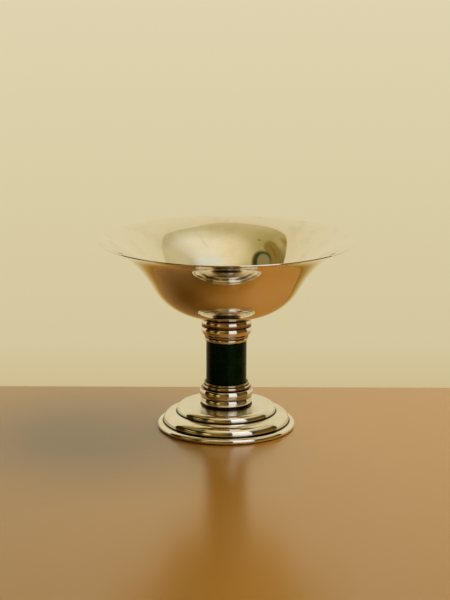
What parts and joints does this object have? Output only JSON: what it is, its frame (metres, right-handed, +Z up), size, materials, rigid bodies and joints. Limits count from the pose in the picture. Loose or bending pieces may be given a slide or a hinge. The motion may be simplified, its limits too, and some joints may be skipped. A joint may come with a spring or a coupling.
{
  "type": "footed bowl",
  "caption": "Round footed bowl with a wide flared rim, standing on a stepped round foot by a dark straight column between beaded silver collars.",
  "frame": {"origin": "centre of the foot's underside, on the surface that the bowl stands on", "axes": "+Z up along the axis of the rod, column and bowl; the bowl is round about it, so +X and +Y have no marked side, and -Y faces the picture's camera"},
  "size_m": [0.22, 0.22, 0.1665],
  "materials": {
    "silver_plate": "polished silver plate, warm in tone, with fine scratches from use",
    "green_column": "glossy dark green, nearly black",
    "packing": "plain pressed leather",
    "brass": "turned, dull with age"
  },
  "bodies": {
    "root": {"bowl": "silver_plate", "bowl_boss": "silver_plate", "upper_collar": "silver_plate", "upper_packing_washer": "packing", "column": "green_column", "lower_packing_washer": "packing", "lower_collar": "silver_plate", "foot": "silver_plate", "foot_plate": "brass", "nut_washer": "brass", "tie_nut": "brass", "tie_rod": "brass"}
  },
  "joints": []
}
